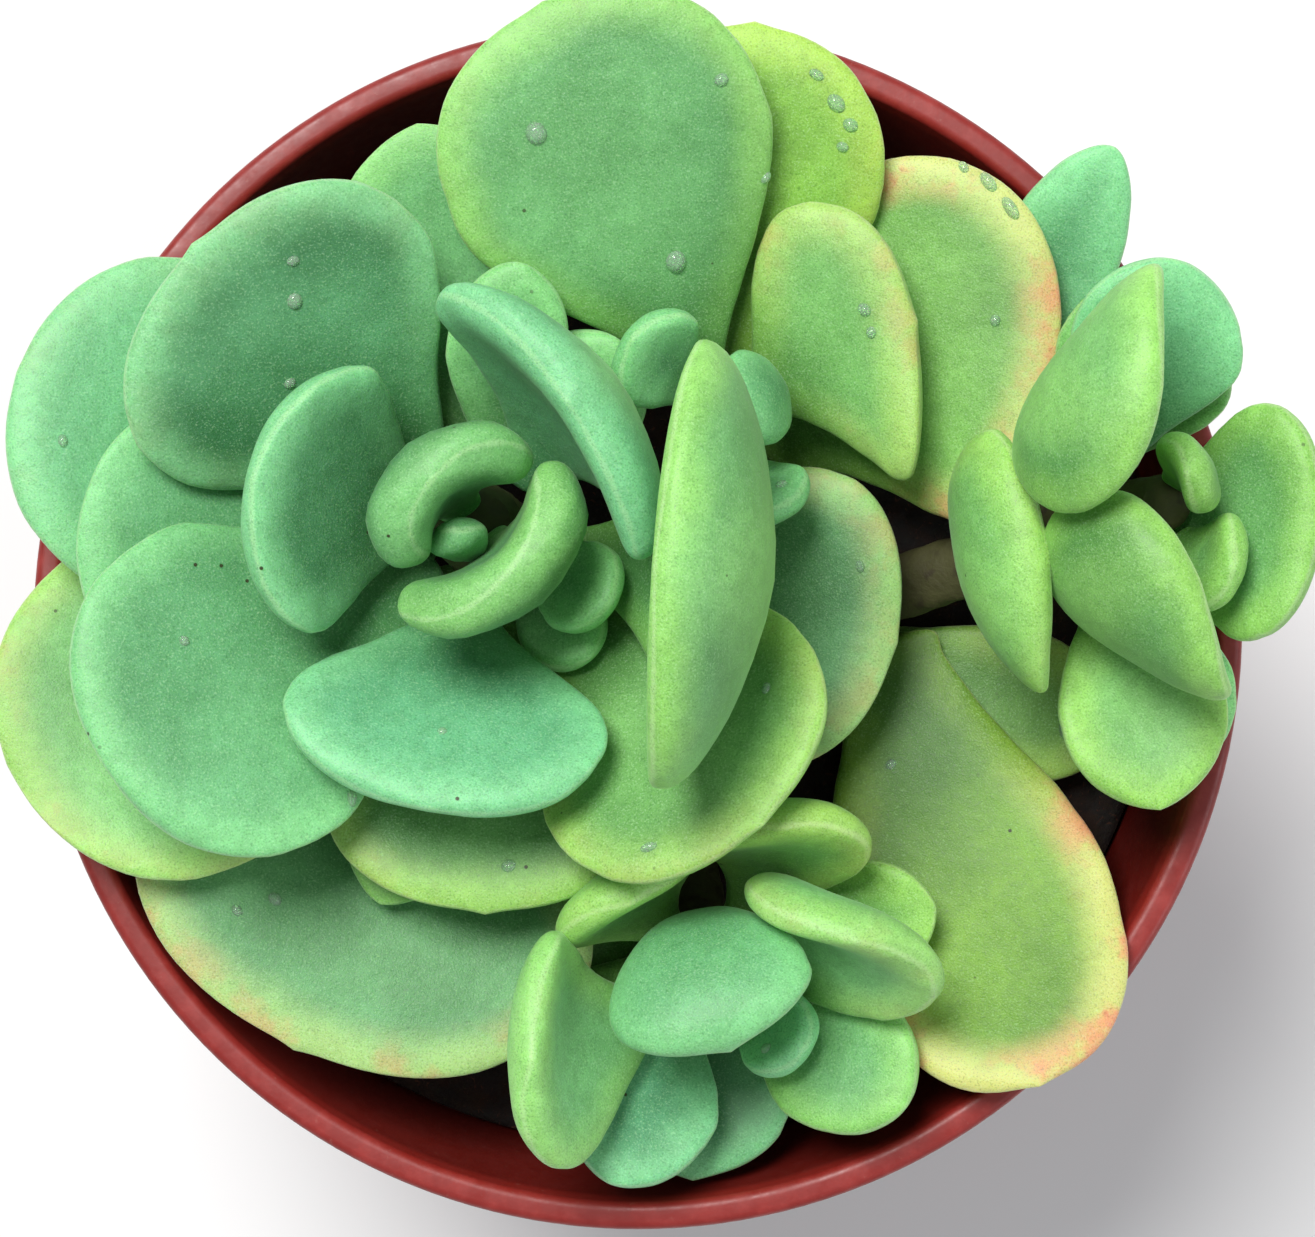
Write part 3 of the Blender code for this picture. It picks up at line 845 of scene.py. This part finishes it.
def build_stems(look):
    """Stems swollen a little in a spiral, as if lower leaves had fallen from them."""
    for number, rosette in enumerate(ROSETTES):
        node = f"stem_{rosette}"
        corners = welded(node)[0]
        levels = np.unique(np.round(corners[:, 2], 6))
        rings = [corners[np.abs(corners[:, 2] - level) < 5e-6] for level in levels]
        centres = np.array([ring.mean(0) for ring in rings])
        radii = np.array([np.linalg.norm(r - c, axis=1).max() for r, c in zip(rings, centres)])
        heights = np.linspace(levels[0], levels[-1], STEM_RINGS)
        angles = 2 * math.pi * np.arange(STEM_SIDES) / STEM_SIDES
        points = []
        for height in heights:
            x = np.interp(height, levels, centres[:, 0])
            y = np.interp(height, levels, centres[:, 1])
            radius = np.interp(height, levels, radii)
            spiral = np.sin(angles * 3 + height / MM * 1.9 + number)
            stacked = np.sin(angles * 2 - height / MM * 3.1 + 2 * number)
            shaped = radius * (0.965 + 0.035 * spiral * stacked + 0.015 * spiral)
            points += [
                (x + r * math.cos(a), y + r * math.sin(a), height) for r, a in zip(shaped, angles)
            ]
        faces = []
        for k in range(STEM_RINGS - 1):
            a, b = k * STEM_SIDES, (k + 1) * STEM_SIDES
            for i in range(STEM_SIDES):
                j = (i + 1) % STEM_SIDES
                faces.append((a + i, a + j, b + j, b + i))
        faces.append(tuple(range(STEM_SIDES))[::-1])
        faces.append(tuple(range(len(points) - STEM_SIDES, len(points))))
        piece = new_piece(f"{node}_scarred", points, faces, look, node)
        mend_normals(piece)
        piece.data.set_sharp_from_angle(angle=math.radians(50))


# ---------------------------------------------------------------------------------------------
# Drops: leaf, share of its length, place across it from one margin (-1) to the other (1), radius in mm
# ---------------------------------------------------------------------------------------------
DROPS = (
    ("crown_leaf_04", 0.75, -0.26, 0.95),
    ("crown_leaf_04", 0.35, 0.13, 0.95),
    ("crown_leaf_04", 0.21, -0.26, 0.6),
    ("crown_leaf_04", 0.69, 0.71, 0.6),
    ("crown_leaf_04", 0.45, 0.95, 0.5),
    ("main_leaf_11", 0.80, 0.26, 0.5),
    ("main_leaf_11", 0.72, 0.13, 0.7),
    ("main_leaf_11", 0.57, -0.13, 0.5),
    ("crown_leaf_02", 0.89, 0.50, 0.6),
    ("crown_leaf_02", 0.83, 0.61, 0.8),
    ("crown_leaf_02", 0.78, 0.71, 0.65),
    ("crown_leaf_02", 0.72, 0.61, 0.5),
    ("crown_leaf_01", 0.80, -0.97, 0.5),
    ("crown_leaf_01", 0.85, -0.92, 0.8),
    ("crown_leaf_01", 0.89, -0.79, 0.9),
    ("crown_leaf_01", 0.83, 0.00, 0.5),
    ("crown_leaf_03", 0.80, -0.13, 0.6),
    ("crown_leaf_03", 0.80, 0.00, 0.5),
    ("main_leaf_04", 0.60, 0.92, 0.6),
    ("main_leaf_04", 0.85, 0.38, 0.5),
    ("main_leaf_01", 0.80, -0.38, 0.5),
    ("main_leaf_01", 0.75, -0.26, 0.6),
    ("main_leaf_01", 0.57, 0.38, 0.5),
    ("main_leaf_10", 0.54, 0.92, 0.6),
    ("main_leaf_10", 0.69, -0.26, 0.45),
    ("main_leaf_16", 0.69, 0.00, 0.4),
    ("front_leaf_12", 0.86, 0.50, 0.7),
    ("front_leaf_07", 0.72, -0.38, 0.5),
    ("crown_leaf_07", 0.78, 0.50, 0.5),
    ("right_leaf_01", 0.85, 0.00, 1.1),
    ("main_leaf_07", 0.87, 0.13, 0.6),
    ("main_leaf_09", 0.85, -0.61, 0.6),
    ("main_leaf_09", 0.75, 0.50, 0.45),
    ("right_leaf_02", 0.26, -0.26, 0.5),
    ("main_leaf_03", 0.87, -0.26, 0.5),
)
DROP_SIDES = 24
DROP_RINGS = 9
DROP_HEIGHT = 0.62
DROP_SUNK = 0.25
DROP_UNDERSIDE = 0.1
DROP_UNEVEN = 0.06


def build_drops(leaves, look):
    """Domes of water standing on the upper faces, each a closed lens slightly sunk into the down."""
    points = []
    faces = []
    for node, along, across, radius in DROPS:
        place, ahead, aside, up = leaves[node].spot(along, across)
        first = len(points)
        size = radius * MM
        base = place - up * DROP_SUNK * size
        points.append(base + up * (DROP_HEIGHT + DROP_SUNK) * size)
        for k in range(1, DROP_RINGS + 1):
            tilt = 0.5 * math.pi * k / DROP_RINGS
            for i in range(DROP_SIDES):
                turn = 2 * math.pi * i / DROP_SIDES
                reach = ahead * math.cos(turn) + aside * math.sin(turn)
                reach = reach * size * math.sin(tilt) * (1 + DROP_UNEVEN * math.sin(2 * turn + radius * 9))
                points.append(base + reach + up * (DROP_HEIGHT + DROP_SUNK) * size * math.cos(tilt))
        points.append(base - up * DROP_UNDERSIDE * size)
        last = len(points) - 1
        for i in range(DROP_SIDES):
            j = (i + 1) % DROP_SIDES
            faces.append((first, first + 1 + i, first + 1 + j))
            for k in range(DROP_RINGS - 1):
                a = first + 1 + k * DROP_SIDES
                b = a + DROP_SIDES
                faces.append((a + i, b + i, b + j, a + j))
            a = last - DROP_SIDES
            faces.append((a + i, last, a + j))
    piece = new_piece("water_drops", points, faces, look)
    mend_normals(piece)
    piece.data.set_sharp_from_angle(angle=math.radians(60))


FLOOR_HALF = 3.0
WORLD_STRENGTH = 0.34
KEY_POWER = 9.5
FILL_POWER = 2.2


def build_stage():
    """A plain pale floor."""
    size = FLOOR_HALF
    mesh = bpy.data.meshes.new("floor")
    corners = [(-size, -size, 0), (size, -size, 0), (size, size, 0), (-size, size, 0)]
    mesh.from_pydata(corners, [], [(0, 1, 2, 3)])
    floor = bpy.data.objects.new("floor", mesh)
    bpy.context.scene.collection.objects.link(floor)
    n = Nodes("pale_floor")
    n.put(n.shader, "Base Color", (0.86, 0.86, 0.86, 1.0))
    n.put(n.shader, "Roughness", 0.9)
    mesh.materials.append(n.material)


def area_light(name, place, target, size, power, colour):
    """A round soft light, aimed at target."""
    lamp = bpy.data.lights.new(name, "AREA")
    lamp.shape = "DISK"
    lamp.size = size
    lamp.energy = power
    lamp.color = colour
    made = bpy.data.objects.new(name, lamp)
    made.location = place
    aim = Vector(target) - Vector(place)
    made.rotation_euler = aim.to_track_quat("-Z", "Y").to_euler()
    bpy.context.scene.collection.objects.link(made)


def build_lights_and_camera():
    """Two soft lights, an even pale surround and the camera."""
    middle = (0, 0, RIM_HEIGHT)
    area_light("key", (-0.22, 0.36, 0.9), middle, 0.4, KEY_POWER, (1.0, 0.99, 0.97))
    area_light("fill", (0.7, -0.3, 0.6), middle, 0.6, FILL_POWER, (0.94, 0.97, 1.0))
    world = bpy.data.worlds.new("studio")
    world.use_nodes = True
    back = world.node_tree.nodes["Background"]
    back.inputs["Color"].default_value = (0.92, 0.97, 1.0, 1.0)
    back.inputs["Strength"].default_value = WORLD_STRENGTH
    bpy.context.scene.world = world
    bpy.context.scene.view_settings.view_transform = "Standard"

    lens = bpy.data.cameras.new("camera")
    lens.sensor_width = SENSOR
    lens.lens = SENSOR * CAMERA_OVER_RIM / VIEW_WIDTH_AT_RIM
    camera = bpy.data.objects.new("camera", lens)
    camera.location = (CAMERA_X, CAMERA_Y, RIM_HEIGHT + CAMERA_OVER_RIM)
    lens.clip_start = 0.01
    lens.clip_end = 10.0
    bpy.context.scene.collection.objects.link(camera)
    bpy.context.scene.camera = camera


build_stage()
build_lights_and_camera()
skin = leaf_skin()
leaves = build_leaves(skin)
build_pot(pot_plastic())
build_soil(potting_mix())
build_stems(stem_bark())
build_drops(leaves, clear_water())
